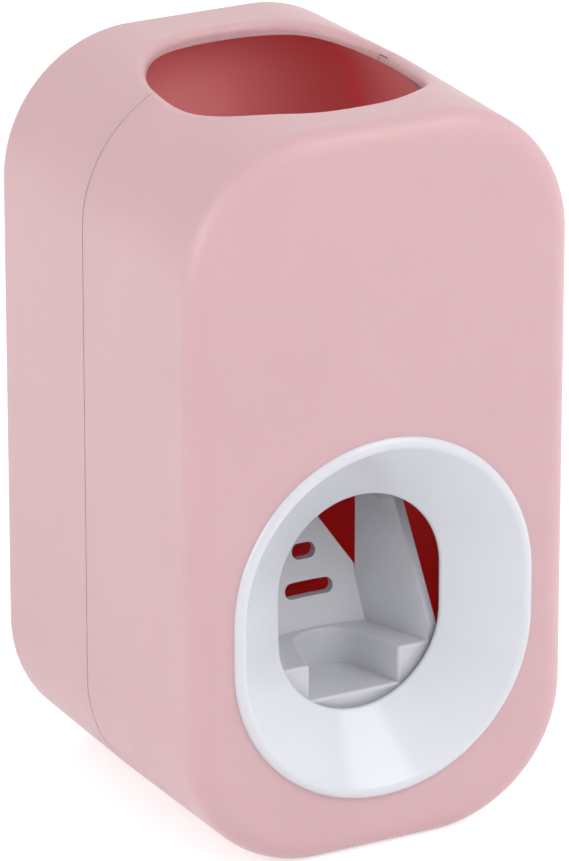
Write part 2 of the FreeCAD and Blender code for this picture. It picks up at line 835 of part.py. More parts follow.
def return_spring():
    """A round-wire compression spring between the plunger and the cylinder's ledge."""
    low_z = plunger_top_z + spring_wire_radius + seat_gap
    rise = ledge_z - spring_wire_radius - seat_gap - low_z
    steps = spring_turns * spring_arcs_per_turn
    arcs = []

    def along(step):
        angle = 2 * math.pi * step / spring_arcs_per_turn
        z = low_z + rise * step / steps
        return point(spring_radius * math.cos(angle), pump_y + spring_radius * math.sin(angle), z)

    for step in range(steps):
        arcs.append(Part.Arc(along(step), along(step + 0.5), along(step + 1)).toShape())
    path = Part.Wire(arcs)
    start = path.Edges[0].valueAt(path.Edges[0].FirstParameter)
    heading = path.Edges[0].tangentAt(path.Edges[0].FirstParameter)
    section = Part.Wire([Part.makeCircle(spring_wire_radius, start, heading)])
    return Part.Wire(path).makePipeShell([section], True, False)


def pump_cylinder():
    """The sleeve that guides the plunger and clamps the bellows under the deck."""
    lip_radius = plunger_radius - stop_lip
    ledge_radius = bellows_radius + side_clearance
    sleeve = turned([
        (lip_radius, cylinder_z),
        (cylinder_outer_radius, cylinder_z),
        (cylinder_outer_radius, deck_z),
        (cylinder_inner_radius, deck_z),
        (cylinder_inner_radius, bellows_top_z),
        (ledge_radius, bellows_top_z),
        (ledge_radius, ledge_z),
        (cylinder_inner_radius, ledge_z),
        (cylinder_inner_radius, cylinder_z + stop_lip),
        (lip_radius, cylinder_z + stop_lip),
    ], pump_y)
    ear_z = deck_z - cylinder_ear_thickness
    core = rod(cylinder_inner_radius + cylinder_wall / 2, reach, point(0, pump_y, 0), Z_AXIS)
    ears = []
    holes = []
    for side in (-1, 1):
        x = side * cylinder_ear_x
        low_x = min(0, x)
        round_end = rod(cylinder_ear_radius, cylinder_ear_thickness, point(x, pump_y, ear_z), Z_AXIS)
        neck = block(
            point(low_x, pump_y - cylinder_ear_radius, ear_z),
            point(low_x + cylinder_ear_x, pump_y + cylinder_ear_radius, deck_z),
        )
        ears.append(round_end.fuse(neck).cut(core))
        holes.append(rod(screw_radius + screw_clearance, reach, point(x, pump_y, 0), Z_AXIS))
    return fused(sleeve, ears).cut(holes)


def valve_sheet():
    """The silicone sheet with the inlet flap, clamped between bellows and deck."""
    radius = cylinder_inner_radius - side_clearance
    sheet = rod(radius, valve_sheet_thickness, point(0, pump_y, valve_sheet_z), Z_AXIS)
    hole = rod(outlet_radius, reach, point(0, outlet_y, 0), Z_AXIS)
    slit = rod(flap_radius + flap_slit, reach, point(0, inlet_y, 0), Z_AXIS)
    slit = slit.cut(rod(flap_radius, reach, point(0, inlet_y, 0), Z_AXIS))
    tether = block(
        point(-flap_radius / 2, inlet_y, 0),
        point(flap_radius / 2, inlet_y + 2 * flap_radius, reach),
    )
    return sheet.cut([hole, slit.cut(tether)])


def pivot_ear(side):
    """The hanging ear that holds one stub pin."""
    x = ear_inside if side > 0 else -ear_outside
    low = rod(ear_half_length, ear_width, point(x, pivot_y, pivot_z), X_AXIS)
    upper = block(
        point(x, pivot_y - ear_half_length, pivot_z),
        point(x + ear_width, pivot_y + ear_half_length, deck_z + overlap),
    )
    return low.fuse(upper)


def gusset(side):
    """A triangular rib between the flange and the deck."""
    x = side * (deck_half_width - gusset_thickness) - gusset_thickness / 2
    back_y = flange_y + flange_thickness
    return prism([
        point(x, back_y - overlap, deck_top_z - overlap),
        point(x, back_y + flange_above, deck_top_z - overlap),
        point(x, back_y - overlap, flange_high_z - pump_screw_inset - boss_radius),
    ], X_AXIS * gusset_thickness)


def pump_body():
    """The moulded deck: flange, tube socket, channels and pivot ears."""
    deck = rounded_plate(
        -deck_half_width,
        flange_y,
        deck_half_width,
        deck_rear_y,
        deck_corner_radius,
        lambda u, v: point(u, v, deck_z),
        Z_AXIS * deck_thickness,
    )
    flange = rounded_plate(
        -flange_half_width,
        flange_low_z,
        flange_half_width,
        flange_high_z,
        flange_corner_radius,
        lambda u, v: point(u, flange_y, v),
        Y_AXIS * flange_thickness,
    )
    socket_start = point(0, inlet_y, deck_top_z - overlap)
    socket = rod(socket_outer_radius, socket_height + overlap, socket_start, Z_AXIS)
    ribs = [gusset(-1), gusset(1)]
    body = fused(deck, [flange, socket, pivot_ear(-1), pivot_ear(1)] + ribs)

    cuts = [
        rod(socket_inner_radius, reach, point(0, inlet_y, deck_top_z), Z_AXIS),
        rod(inlet_radius, deck_thickness + 2 * overlap, point(0, inlet_y, deck_z - overlap), Z_AXIS),
        rod(outlet_radius, channel_z - deck_z + overlap, point(0, outlet_y, deck_z - overlap), Z_AXIS),
        rod(
            channel_radius,
            outlet_y - flange_y + 2 * overlap,
            point(0, flange_y - overlap, channel_z),
            Y_AXIS,
        ),
        rod(nozzle_bore, channel_z - deck_z + overlap, point(0, nozzle_y, deck_z - overlap), Z_AXIS),
        rod(
            nozzle_spigot_radius + thread_clearance,
            nozzle_spigot_length + seat_gap + overlap,
            point(0, nozzle_y, deck_z - overlap),
            Z_AXIS,
        ),
    ]
    for x, z in pump_screw_places():
        cuts.append(rod(screw_radius + screw_clearance, reach, point(x, front_y, z), Y_AXIS))
    for side in (-1, 1):
        pin_x = side * ear_inside
        cuts.append(rod(pin_radius + thread_clearance, reach, point(pin_x, pivot_y, pivot_z), X_AXIS * side))
        pilot_length = cylinder_screw_bite + overlap
        spot = point(side * cylinder_ear_x, pump_y, deck_z)
        cuts.append(rod(screw_radius + thread_clearance, pilot_length, spot, Z_AXIS))
    return body.cut(cuts)


def channel_plug():
    """The stopper that closes the channel's front end."""
    radius = channel_radius - thread_clearance
    return rod(radius, plug_length, point(0, flange_y, channel_z), Y_AXIS)


# Tube socket

def tube_seal():
    """The silicone sleeve that grips the tube's neck."""
    outside = socket_inner_radius - thread_clearance
    flange_radius = socket_outer_radius - seat_gap
    return turned([
        (tube_neck_radius, deck_top_z),
        (outside, deck_top_z),
        (outside, socket_top_z),
        (flange_radius, socket_top_z),
        (flange_radius, socket_top_z + seal_flange_height),
        (tube_neck_radius, socket_top_z + seal_flange_height),
    ], inlet_y)


def seal_retainer():
    """The ring cap that holds the seal in the socket."""
    low_z = socket_top_z - retainer_skirt
    under_z = socket_top_z + seal_flange_height
    top_z = under_z + retainer_thickness
    inside = socket_outer_radius + thread_clearance
    outside = inside + socket_wall
    mouth = socket_outer_radius - retainer_overlap
    return turned([
        (inside, low_z),
        (outside, low_z),
        (outside, top_z),
        (mouth, top_z),
        (mouth, under_z),
        (inside, under_z),
    ], inlet_y)


# Nozzle

def outlet_nozzle():
    """The down-pipe from the deck to the brush."""
    spigot_top_z = deck_z + nozzle_spigot_length
    return turned([
        (nozzle_bore, nozzle_end_z),
        (nozzle_radius, nozzle_end_z),
        (nozzle_radius, deck_z),
        (nozzle_spigot_radius, deck_z),
        (nozzle_spigot_radius, spigot_top_z),
        (nozzle_bore, spigot_top_z),
    ], nozzle_y)


def outlet_valve():
    """The silicone duckbill that keeps the paste from drying."""
    flange_low_z = nozzle_end_z - valve_flange_thickness
    tip_z = flange_low_z - bill_length
    flange_disc = rod(
        valve_flange_radius,
        valve_flange_thickness,
        point(0, nozzle_y, flange_low_z),
        Z_AXIS,
    )
    stem = rod(bill_radius, bill_length, point(0, nozzle_y, tip_z), Z_AXIS)
    wedge = prism([
        point(-bill_radius, nozzle_y - bill_radius, flange_low_z),
        point(-bill_radius, nozzle_y - bill_tip, tip_z),
        point(-bill_radius, nozzle_y + bill_tip, tip_z),
        point(-bill_radius, nozzle_y + bill_radius, flange_low_z),
    ], X_AXIS * 2 * bill_radius)
    whole = fused(flange_disc, [stem.common(wedge)])
    bore = rod(bill_bore, reach, point(0, nozzle_y, flange_low_z), Z_AXIS)
    mouth = block(
        point(-bill_bore, nozzle_y - bill_slit / 2, tip_z - overlap),
        point(bill_bore, nozzle_y + bill_slit / 2, flange_low_z + overlap),
    )
    return whole.cut([bore, mouth])


def nozzle_cap():
    """The ring that holds the duckbill on the nozzle's end."""
    under_z = nozzle_end_z - valve_flange_thickness
    low_z = under_z - cap_lip
    inside = nozzle_radius + thread_clearance
    outside = inside + cap_wall
    mouth = bill_radius + side_clearance
    return turned([
        (mouth, low_z),
        (outside, low_z),
        (outside, low_z + cap_height),
        (inside, low_z + cap_height),
        (inside, under_z),
        (mouth, under_z),
    ], nozzle_y)


# Screws

def screw(seat, direction, bite):
    """A pan-head screw: the seat is the point under the head, the shank runs along direction."""
    shank = rod(screw_radius, bite, seat, direction)
    head = rod(screw_head_radius, screw_head_height, seat, -direction)
    along = X_AXIS * screw_head_radius * 2
    across = along.cross(direction)
    across.normalize()
    corner = seat - direction * screw_head_height - along / 2 - across * driver_slot_width / 2
    slot_face = prism([
        corner,
        corner + along,
        corner + along + across * driver_slot_width,
        corner + across * driver_slot_width,
    ], direction * driver_slot_depth)
    return fused(shank, [head]).cut(slot_face)


def pump_screws():
    """Four screws from the pump's flange into the front shell."""
    seat_y = flange_y + flange_thickness
    bite = flange_thickness + screw_bite
    return [screw(point(x, seat_y, z), -Y_AXIS, bite) for x, z in pump_screw_places()]


def cylinder_screws():
    """Two screws that hold the pump cylinder under the deck."""
    seat_z = deck_z - cylinder_ear_thickness
    bite = cylinder_ear_thickness + cylinder_screw_bite
    return [screw(point(side * cylinder_ear_x, pump_y, seat_z), Z_AXIS, bite) for side in (-1, 1)]


def shell_screws():
    """Four screws from the rear that close the housing."""
    seat_y = parting_y + shell_screw_floor
    bite = shell_screw_floor + screw_bite
    return [screw(point(x, seat_y, z), -Y_AXIS, bite) for x, z in shell_screw_places()]


NODES = {
    "front_shell": front_shell(),
    "rear_shell": rear_shell(),
    "funnel_ring": funnel_ring(),
    "pusher": pusher(),
    "pivot_pin_left": pivot_pin(-1),
    "pivot_pin_right": pivot_pin(1),
    "lift_pin": lift_pin(),
    "plunger": plunger(),
    "bellows": bellows(),
    "return_spring": return_spring(),
    "pump_cylinder": pump_cylinder(),
    "valve_sheet": valve_sheet(),
    "pump_body": pump_body(),
    "channel_plug": channel_plug(),
    "tube_seal": tube_seal(),
    "seal_retainer": seal_retainer(),
    "outlet_nozzle": outlet_nozzle(),
    "outlet_valve": outlet_valve(),
    "nozzle_cap": nozzle_cap(),
    "pump_screws": Part.makeCompound(pump_screws()),
    "cylinder_screws": Part.makeCompound(cylinder_screws()),
    "shell_screws": Part.makeCompound(shell_screws()),
}

os.makedirs("parts", exist_ok=True)
for name, shape in NODES.items():
    shape.exportStep("parts/" + name + ".step")
    state = "valid" if shape.isValid() else "bad"
    print(name, len(shape.Solids), "solids", round(shape.Volume, 1), "mm3", state)
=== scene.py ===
import json
import math

import bmesh
import bpy
from mathutils import Matrix, Vector


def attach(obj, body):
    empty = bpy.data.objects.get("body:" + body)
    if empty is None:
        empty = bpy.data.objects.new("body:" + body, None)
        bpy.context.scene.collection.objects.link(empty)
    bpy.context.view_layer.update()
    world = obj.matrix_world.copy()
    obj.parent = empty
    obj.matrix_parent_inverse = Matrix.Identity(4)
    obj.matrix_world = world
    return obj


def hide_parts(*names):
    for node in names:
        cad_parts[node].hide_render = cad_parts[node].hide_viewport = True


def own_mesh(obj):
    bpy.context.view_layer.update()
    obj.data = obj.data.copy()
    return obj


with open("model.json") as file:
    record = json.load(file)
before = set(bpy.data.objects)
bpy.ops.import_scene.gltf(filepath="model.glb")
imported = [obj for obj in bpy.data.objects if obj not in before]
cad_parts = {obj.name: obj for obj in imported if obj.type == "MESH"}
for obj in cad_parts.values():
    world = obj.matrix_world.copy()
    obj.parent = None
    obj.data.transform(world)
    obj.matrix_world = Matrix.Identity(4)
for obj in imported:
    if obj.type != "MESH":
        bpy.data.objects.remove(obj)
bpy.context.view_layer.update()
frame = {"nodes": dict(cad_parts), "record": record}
scene = bpy.context.scene
nodes = frame["nodes"]
MM = 0.001
FULL_TURN = 2 * math.pi
PURE_WHITE = (1.0, 1.0, 1.0, 1.0)

# Housing sizes, in metres
BODY_WIDTH = 67.2 * MM
BODY_HEIGHT = 120.0 * MM
CORNER_RADIUS = 22.5 * MM
FRONT_Y = -32.35 * MM
REAR_Y = 33.15 * MM
PARTING_Y = 3.35 * MM
DRAFT = math.tan(math.radians(0.8))

# What tells the housing's inner faces, which get the painted shade, from its outer ones
INNER_DEPTH = 1.9 * MM
RIM_LOW_Z = 112.0 * MM
RIM_MARGIN = 1.0 * MM
UPRIGHT_LIMIT = 0.5
SCREW_PLACES = ((27.7 * MM, 86.0 * MM), (24.862 * MM, 13.217 * MM))
SCREW_HOLE_RADIUS = 3.0 * MM

# The solids' tube opening, with its front and rear corner arcs as x, y and radius
WELL_FRONT_Y = -21.5 * MM
WELL_REAR_Y = 23.4 * MM
WELL_ARCS = ((3.8 * MM, -5.0 * MM, 16.5 * MM), (7.0 * MM, 14.4 * MM, 9.0 * MM))
TILT_LIMIT = 80
TILTS_PER_DEGREE = 2
TILT_COUNT = TILT_LIMIT * TILTS_PER_DEGREE
TILTS = [math.radians(step / TILTS_PER_DEGREE) for step in range(-TILT_COUNT, TILT_COUNT + 1)]
REACH_STEPS = 1440

# The oval that the opening is drawn to, and how far round it the top wall follows
OVAL_HALF_WIDTH = 20.1 * MM
OVAL_HALF_LENGTH = 22.1 * MM
OVAL_POWER = 2.4
OPENING_FADE = 6.0 * MM
OPENING_ZONE = OVAL_HALF_LENGTH + 2 * OPENING_FADE
TOP_WALL_DEPTH = 4.0 * MM
RIM_WIDTH = 3.0 * MM
RIM_STEP = 5.0 * MM
RIM_CUTS = 7
PROBE = 0.02 * MM
PROBE_STEPS = (Vector((PROBE, 0, 0)), Vector((0, PROBE, 0)), Vector((0, 0, PROBE)))

# Pump sizes for the bellows and the spring, in metres
PUMP_Y = 2.9 * MM
PLUNGER_TOP_Z = 72.145 * MM
LEDGE_Z = 81.545 * MM
SEAT_GAP = 0.1 * MM
BELLOWS_TOP_Z = 82.745 * MM
BELLOWS_FLANGE_Z = 83.945 * MM
BELLOWS_RADIUS = 7.0 * MM
BELLOWS_WAIST = 5.6 * MM
BELLOWS_WALL = 0.8 * MM
BELLOWS_FLANGE_RADIUS = 9.3 * MM
BELLOWS_HUB = 0.05 * MM
BELLOWS_FOLDS = 3
BELLOWS_SIDES = 72
FOLD_STEPS = 12
SPRING_RADIUS = 8.5 * MM
SPRING_WIRE = 0.4 * MM
SPRING_TURNS = 4
SPRING_STEPS = 40
SPRING_END_SHARE = 0.055
WIRE_SIDES = 14

# How the clouds of colour, gloss and grain vary over a moulded surface
CLOUD_LOW = 0.3
CLOUD_HIGH = 0.7
TONE_SCALE = 55.0
TONE_DETAIL = 3.0
GLOSS_SCALE = 420.0
GLOSS_DETAIL = 4.0
GRAIN_DETAIL = 3.0

# Camera at the photo's angle
AZIMUTH = math.radians(-28.38)
ELEVATION = math.radians(20.95)
DISTANCE = 1036.2 * MM
LENS = 274.9
SENSOR_WIDTH = 36.0
CLIP_START = 0.05
CLIP_END = 50.0
AIM = Vector((0.0, 0.475, 60.0)) * MM
AIM_RIGHT = 0.15 * MM
AIM_UP = -0.70 * MM

# Studio
WORLD_LIGHT = 0.45
MIDDLE = Vector((0.0, 0.0, 0.06))
FLOOR_HALF = 4.0
FLOOR_DROP = 0.02 * MM
FLOOR_COLOUR = (0.9, 0.9, 0.9, 1.0)
FLOOR_ROUGHNESS = 0.9
FLOOR_LIFT = 0.55


def add_node(tree, kind, **inputs):
    """A shader node with some of its inputs set."""
    made = tree.nodes.new(kind)
    for name, value in inputs.items():
        made.inputs[name.replace("_", " ")].default_value = value
    return made


def spread(tree, coords, scale, detail, low, high):
    """A noise value mapped to a range."""
    noise = add_node(tree, "ShaderNodeTexNoise", Scale=scale, Detail=detail)
    tree.links.new(coords.outputs["Object"], noise.inputs["Vector"])
    ranged = add_node(
        tree, "ShaderNodeMapRange", From_Min=CLOUD_LOW, From_Max=CLOUD_HIGH, To_Min=low, To_Max=high,
    )
    tree.links.new(noise.outputs["Fac"], ranged.inputs["Value"])
    return ranged.outputs["Result"]


def two_tones(tree, coords, first, second):
    """Two near colours mixed by a soft cloud."""
    ramp = tree.nodes.new("ShaderNodeValToRGB")
    ramp.color_ramp.elements[0].color = first + (1.0,)
    ramp.color_ramp.elements[1].color = second + (1.0,)
    cloud = spread(tree, coords, TONE_SCALE, TONE_DETAIL, 0.0, 1.0)
    tree.links.new(cloud, ramp.inputs["Fac"])
    return ramp.outputs["Color"]


def plastic(name, tones, rough, grain, **sockets):
    """A moulded surface: two tones, two limits of gloss, and a grain's scale, strength and depth."""
    material = bpy.data.materials.new(name)
    material.use_nodes = True
    tree = material.node_tree
    shader = tree.nodes["Principled BSDF"]
    coords = tree.nodes.new("ShaderNodeTexCoord")
    tree.links.new(two_tones(tree, coords, *tones), shader.inputs["Base Color"])
    gloss = spread(tree, coords, GLOSS_SCALE, GLOSS_DETAIL, *rough)
    tree.links.new(gloss, shader.inputs["Roughness"])
    grain_scale, grain_strength, grain_depth = grain
    bump = add_node(tree, "ShaderNodeBump", Strength=grain_strength, Distance=grain_depth)
    fine = add_node(tree, "ShaderNodeTexNoise", Scale=grain_scale, Detail=GRAIN_DETAIL)
    tree.links.new(coords.outputs["Object"], fine.inputs["Vector"])
    tree.links.new(fine.outputs["Fac"], bump.inputs["Height"])
    tree.links.new(bump.outputs["Normal"], shader.inputs["Normal"])
    for socket, value in sockets.items():
        shader.inputs[socket.replace("_", " ")].default_value = value
    return material


WALL_GLOW = (1.0, 0.42, 0.42)
PINK = plastic(
    "pink_plastic",
    tones=((0.690, 0.442, 0.468), (0.712, 0.459, 0.485)),
    rough=(0.34, 0.42),
    grain=(3200.0, 0.10, 0.04 * MM),
    Subsurface_Weight=0.35,
    Subsurface_Radius=WALL_GLOW,
    Subsurface_Scale=3.0 * MM,
)
# A deeper red copy of the pink plastic for the housing's inner faces: painted shade that stands in
# for the shade and reddened bounced light inside the hollow housing
PINK_INSIDE_PAINTED_SHADE = plastic(
    "pink_plastic_inside_painted_shade",
    tones=((0.86, 0.370, 0.385), (0.88, 0.385, 0.400)),
    rough=(0.50, 0.60),
    grain=(2400.0, 0.12, 0.05 * MM),
    Subsurface_Weight=0.90,
    Subsurface_Radius=WALL_GLOW,
    Subsurface_Scale=4.2 * MM,
)
GLOSSY = {
    "rough": (0.16, 0.24),
    "grain": (1500.0, 0.04, 0.03 * MM),
    "Coat_Weight": 0.3,
    "Coat_Roughness": 0.12,
}
WHITE = plastic("white_plastic", tones=((0.735, 0.748, 0.808), (0.758, 0.771, 0.828)), **GLOSSY)
# A greyer copy of the white plastic for the pusher, which is the same plastic as the ring: painted
# shade for its hollow cup
CUP_WHITE_PAINTED_SHADE = plastic("cup_plastic_painted_shade", tones=((0.640, 0.645, 0.690), (0.655, 0.660, 0.705)), **GLOSSY)
NATURAL = plastic(
    "pump_plastic",
    tones=((0.72, 0.72, 0.735), (0.76, 0.76, 0.77)),
    rough=(0.38, 0.50),
    grain=(2200.0, 0.10, 0.04 * MM),
)
SILICONE = plastic(
    "milky_silicone",
    tones=((0.66, 0.67, 0.66), (0.72, 0.72, 0.71)),
    rough=(0.45, 0.58),
    grain=(1800.0, 0.08, 0.03 * MM),
    Subsurface_Weight=0.35,
    Subsurface_Scale=2.0 * MM,
)
STEEL = plastic(
    "plain_steel",
    tones=((0.52, 0.52, 0.53), (0.60, 0.60, 0.61)),
    rough=(0.24, 0.36),
    grain=(2600.0, 0.10, 0.03 * MM),
    Metallic=1.0,
)
BY_SLOT = {
    "housing_plastic": PINK,
    "white_plastic": WHITE,
    "pump_plastic": NATURAL,
    "silicone": SILICONE,
    "steel": STEEL,
}


def depth_in_wall(spot):
    """How far a point of the housing lies under its outer side, top or bottom surface."""
    lean = DRAFT * abs(spot.y - PARTING_Y)
    half = BODY_WIDTH / 2 - lean
    middle = (BODY_HEIGHT - lean) / 2
    across = abs(spot.x) - (half - CORNER_RADIUS)
    along = abs(spot.z - middle) - (middle - CORNER_RADIUS)
    outside = math.hypot(max(across, 0.0), max(along, 0.0))
    return CORNER_RADIUS - outside - min(max(across, along), 0.0)


def on_well_rim(face):
    """Whether a face is part of the upright rim round the tube opening."""
    spot = face.center
    over_opening = WELL_FRONT_Y - RIM_MARGIN < spot.y < WELL_REAR_Y + RIM_MARGIN
    return over_opening and spot.z > RIM_LOW_Z and abs(face.normal.z) < UPRIGHT_LIMIT


def in_screw_hole(spot):
    """Whether a point lies in one of the four screw holes at the back."""
    for x, z in SCREW_PLACES:
        if math.hypot(abs(spot.x) - x, spot.z - z) < SCREW_HOLE_RADIUS:
            return True
    return False


def dress_shell_with_painted_shade(shell):
    """Puts a deeper red on the faces inside the housing: painted shade for the shade and reddened
    bounced light in the hollow housing.
    """
    shell.data.materials.append(PINK_INSIDE_PAINTED_SHADE)
    for face in shell.data.polygons:
        spot = face.center
        between = FRONT_Y + INNER_DEPTH < spot.y < REAR_Y - INNER_DEPTH
        inside = between and depth_in_wall(spot) > INNER_DEPTH
        # Faces deep inside the housing, apart from the rim and the screw holes, get the painted shade
        if inside and not on_well_rim(face) and not in_screw_hole(spot):
            face.material_index = 1


def dress_solids():
    """Gives each solid the material of its slot, the shells' inner faces a painted shade, and the
    pusher a greyer white that is painted shade for its cup.
    """
    for part in frame["record"]["subparts"]:
        piece = nodes[part["node"]]
        piece.data.materials.clear()
        piece.data.materials.append(BY_SLOT[part["material_slot"]])
    for piece in nodes.values():
        for face in piece.data.polygons:
            face.material_index = 0
    dress_shell_with_painted_shade(nodes["front_shell"])
    dress_shell_with_painted_shade(nodes["rear_shell"])
    # The greyer copy of the white plastic: painted shade on the pusher's cup
    nodes["pusher"].data.materials[0] = CUP_WHITE_PAINTED_SHADE


def outer_top(x, y):
    """Height of the housing's curved top over a point."""
    lean = DRAFT * abs(y - PARTING_Y)
    beyond = max(abs(x) - (BODY_WIDTH / 2 - lean - CORNER_RADIUS), 0.0)
    drop = CORNER_RADIUS - math.sqrt(max(CORNER_RADIUS ** 2 - beyond ** 2, 0.0))
    return BODY_HEIGHT - lean - drop


def corner_reach(angle):
    """How far the solids' opening reaches from its middle at an angle, from its corner arcs."""
    reaches = []
    for tilt in TILTS:
        across = abs(math.cos(angle + tilt))
        along = math.sin(angle + tilt)
        square = max(x * across + y * along + radius for x, y, radius in WELL_ARCS)
        reaches.append(square / math.cos(tilt))
    return min(reaches)


REACHES = [corner_reach(FULL_TURN * step / REACH_STEPS) for step in range(REACH_STEPS)]


def built_reach(angle):
    """How far the solids' opening reaches from its middle, read between the steps worked out."""
    place = angle / FULL_TURN % 1.0 * REACH_STEPS
    step = int(place)
    low = REACHES[step % REACH_STEPS]
    high = REACHES[(step + 1) % REACH_STEPS]
    return low + (high - low) * (place - step)


def oval_reach(angle):
    """How far the oval reaches from its middle at an angle."""
    across = abs(math.cos(angle) / OVAL_HALF_WIDTH) ** OVAL_POWER
    along = abs(math.sin(angle) / OVAL_HALF_LENGTH) ** OVAL_POWER
    return (across + along) ** (-1 / OVAL_POWER)


def eased(share):
    """A share held between nought and one, which starts and ends gently."""
    held = min(max(share, 0.0), 1.0)
    return held * held * (3 - 2 * held)


def drawn_to_oval(spot):
    """Where a point of the housing's top wall lies once its opening is an oval."""
    depth = outer_top(spot.x, spot.y) - spot.z
    angle = math.atan2(spot.y, spot.x)
    away = math.hypot(spot.x, spot.y)
    if depth > TOP_WALL_DEPTH or away > OPENING_ZONE:
        return spot
    reach = built_reach(angle)
    away += (oval_reach(angle) - reach) * (1 - eased((away - reach) / OPENING_FADE))
    x = away * math.cos(angle)
    y = away * math.sin(angle)
    return Vector((x, y, outer_top(x, y) - depth))


def turned_with(spot, normal):
    """A surface direction at a point, turned as the oval turns the surface there."""
    start = drawn_to_oval(spot)
    rows = [(drawn_to_oval(spot + step) - start) / PROBE for step in PROBE_STEPS]
    return (Matrix(rows).inverted() @ normal).normalized()


def near_rim(spot):
    """Whether a point lies on the rim of the tube opening."""
    if outer_top(spot.x, spot.y) - spot.z > TOP_WALL_DEPTH:
        return False
    reach = built_reach(math.atan2(spot.y, spot.x))
    return abs(math.hypot(spot.x, spot.y) - reach) < RIM_WIDTH


def divide_rim(mesh):
    """Cuts the long edges along the rim into short ones, so that they can bend."""
    shape = bmesh.new()
    shape.from_mesh(mesh)
    on_rim = {vertex for vertex in shape.verts if near_rim(vertex.co)}
    edges = []
    for edge in shape.edges:
        if edge.calc_length() > RIM_STEP and on_rim.issuperset(edge.verts):
            edges.append(edge)
    bmesh.ops.subdivide_edges(shape, edges=edges, cuts=RIM_CUTS, use_grid_fill=True)
    bmesh.ops.triangulate(shape, faces=[face for face in shape.faces if len(face.verts) > 3])
    shape.to_mesh(mesh)
    shape.free()


def replace_shell(name):
    """A copy of a shell whose part of the tube opening follows the oval."""
    mesh = nodes[name].data.copy()
    shading = mesh.attributes.new("shading", "FLOAT_VECTOR", "CORNER")
    for corner, normal in enumerate(mesh.corner_normals):
        shading.data[corner].vector = normal.vector
    divide_rim(mesh)
    shading = mesh.attributes["shading"]
    normals = []
    for loop in mesh.loops:
        spot = mesh.vertices[loop.vertex_index].co
        normal = shading.data[loop.index].vector.normalized()
        moved = drawn_to_oval(spot) != spot
        normals.append(turned_with(spot, normal) if moved else normal)
    for vertex in mesh.vertices:
        vertex.co = drawn_to_oval(vertex.co)
    mesh.attributes.remove(shading)
    mesh.normals_split_custom_set(normals)
    piece = bpy.data.objects.new(name + "_oval", mesh)
    scene.collection.objects.link(piece)
    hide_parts(name)
    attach(piece, "housing")


def make_piece(name, grid, material, node_name, closed):
    """A smooth mesh from rows of points that run round; closed joins the last row to the first."""
    mesh = bpy.data.meshes.new(name)
    shape = bmesh.new()
    rows = [[shape.verts.new(spot) for spot in row] for row in grid]
    count = len(rows[0])
    pairs = list(zip(rows, rows[1:]))
    if closed:
        pairs.append((rows[-1], rows[0]))
    for low, high in pairs:
        for step in range(count):
            after = (step + 1) % count
            shape.faces.new((low[step], low[after], high[after], high[step]))
    if not closed:
        shape.faces.new(rows[0][::-1])
        shape.faces.new(rows[-1])
    bmesh.ops.recalc_face_normals(shape, faces=shape.faces)
    shape.to_mesh(mesh)
    shape.free()
    for face in mesh.polygons:
        face.use_smooth = len(face.vertices) == 4
    mesh.materials.append(material)
    piece = bpy.data.objects.new(name, mesh)
    scene.collection.objects.link(piece)
    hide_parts(node_name)
    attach(piece, "housing")
    return piece


def folded_wall(inset):
    """The bellows' rounded folds from bottom to top, as radius and height."""
    low = PLUNGER_TOP_Z + BELLOWS_WALL
    steps = BELLOWS_FOLDS * FOLD_STEPS
    points = []
    for step in range(steps + 1):
        share = step / steps
        swell = 0.5 - 0.5 * math.cos(FULL_TURN * share * BELLOWS_FOLDS)
        radius = BELLOWS_WAIST + (BELLOWS_RADIUS - BELLOWS_WAIST) * swell - inset
        points.append((radius, low + (BELLOWS_TOP_Z - low) * share))
    return points


def build_bellows():
    """The silicone bellows: rounded folds, a flat floor and a clamping flange."""
    profile = [(BELLOWS_HUB, PLUNGER_TOP_Z), (BELLOWS_WAIST - BELLOWS_WALL / 2, PLUNGER_TOP_Z)]
    profile += folded_wall(0.0)
    profile += [(BELLOWS_FLANGE_RADIUS, BELLOWS_TOP_Z), (BELLOWS_FLANGE_RADIUS, BELLOWS_FLANGE_Z)]
    profile += [(BELLOWS_WAIST - BELLOWS_WALL, BELLOWS_FLANGE_Z)]
    profile += folded_wall(BELLOWS_WALL)[::-1]
    profile += [(BELLOWS_HUB, PLUNGER_TOP_Z + BELLOWS_WALL)]
    grid = []
    for radius, z in profile:
        row = []
        for step in range(BELLOWS_SIDES):
            angle = FULL_TURN * step / BELLOWS_SIDES
            row.append(Vector((radius * math.cos(angle), PUMP_Y + radius * math.sin(angle), z)))
        grid.append(row)
    return make_piece("bellows_folded", grid, SILICONE, "bellows", True)


def build_spring():
    """The return spring: round wire whose end turns lie closer than the middle ones."""
    low = PLUNGER_TOP_Z + SPRING_WIRE + SEAT_GAP
    rise = LEDGE_Z - SPRING_WIRE - SEAT_GAP - low
    steps = SPRING_TURNS * SPRING_STEPS
    grid = []
    for step in range(steps + 1):
        share = step / steps
        angle = FULL_TURN * SPRING_TURNS * share
        height = share - SPRING_END_SHARE * math.sin(FULL_TURN * share)
        out = Vector((math.cos(angle), math.sin(angle), 0.0))
        centre = out * SPRING_RADIUS + Vector((0.0, PUMP_Y, low + rise * height))
        row = []
        for side in range(WIRE_SIDES):
            turn = FULL_TURN * side / WIRE_SIDES
            sideways = out * SPRING_WIRE * math.cos(turn)
            upward = Vector((0.0, 0.0, SPRING_WIRE * math.sin(turn)))
            row.append(centre + sideways + upward)
        grid.append(row)
    return make_piece("return_spring_wound", grid, STEEL, "return_spring", False)


